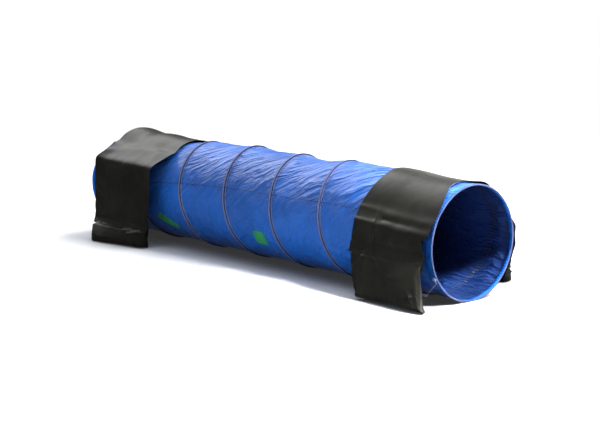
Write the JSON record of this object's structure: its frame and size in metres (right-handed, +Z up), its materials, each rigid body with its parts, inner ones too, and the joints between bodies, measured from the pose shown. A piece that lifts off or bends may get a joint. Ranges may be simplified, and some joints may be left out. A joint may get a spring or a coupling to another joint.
{
  "type": "dog agility tunnel",
  "caption": "Round fabric agility tunnel on a spring-steel spiral with taped piping and hemmed mouths, held down by sheet saddles with sand pockets.",
  "frame": {"origin": "on the floor, at the bottom centre of the box round the whole object", "axes": "+X along the tunnel towards the near mouth, +Z up, -Y towards the shown side"},
  "size_m": [2.864, 1.052, 0.61],
  "materials": {
    "blue_fabric": "satin",
    "pale_tape": "matte",
    "spring_steel": "satin",
    "dark_sheet": "satin",
    "sand": "matte",
    "pale_cord": "matte",
    "pale_plastic": "satin"
  },
  "bodies": {
    "near_end": {"tunnel_skin": "blue_fabric", "spiral_wire": "spring_steel", "wire_sleeve": "pale_tape", "near_hem": "pale_tape", "near_crimp": "spring_steel", "cord_tab": "pale_tape", "tie_cord": "pale_cord", "rim_knot": "pale_cord", "cord_toggle": "pale_plastic"},
    "far_end": {"far_hem": "pale_tape", "far_crimp": "spring_steel"},
    "near_saddle": {"near_saddle_sheet": "dark_sheet", "near_saddle_front_pocket": "dark_sheet", "near_saddle_back_pocket": "dark_sheet", "near_saddle_front_sand": "sand", "near_saddle_back_sand": "sand", "near_saddle_front_flap": "dark_sheet", "near_saddle_back_flap": "dark_sheet"},
    "far_saddle": {"far_saddle_sheet": "dark_sheet", "far_saddle_front_pocket": "dark_sheet", "far_saddle_back_pocket": "dark_sheet", "far_saddle_front_sand": "sand", "far_saddle_back_sand": "sand", "far_saddle_front_flap": "dark_sheet", "far_saddle_back_flap": "dark_sheet"}
  },
  "joints": [
    {"name": "collapse", "type": "slide", "parent": "near_end", "child": "far_end", "axis": [1, 0, 0], "range_m": [0, 2.5], "stiffness_N_per_m": 15, "deforming": ["tunnel_skin", "spiral_wire", "wire_sleeve"]},
    {"name": "near_saddle_lift", "type": "slide", "parent": "near_end", "child": "near_saddle", "axis": [0, 0, 1], "range_m": [0, 0.7]},
    {"name": "far_saddle_lift", "type": "slide", "parent": "near_end", "child": "far_saddle", "axis": [0, 0, 1], "range_m": [0, 0.7]}
  ]
}
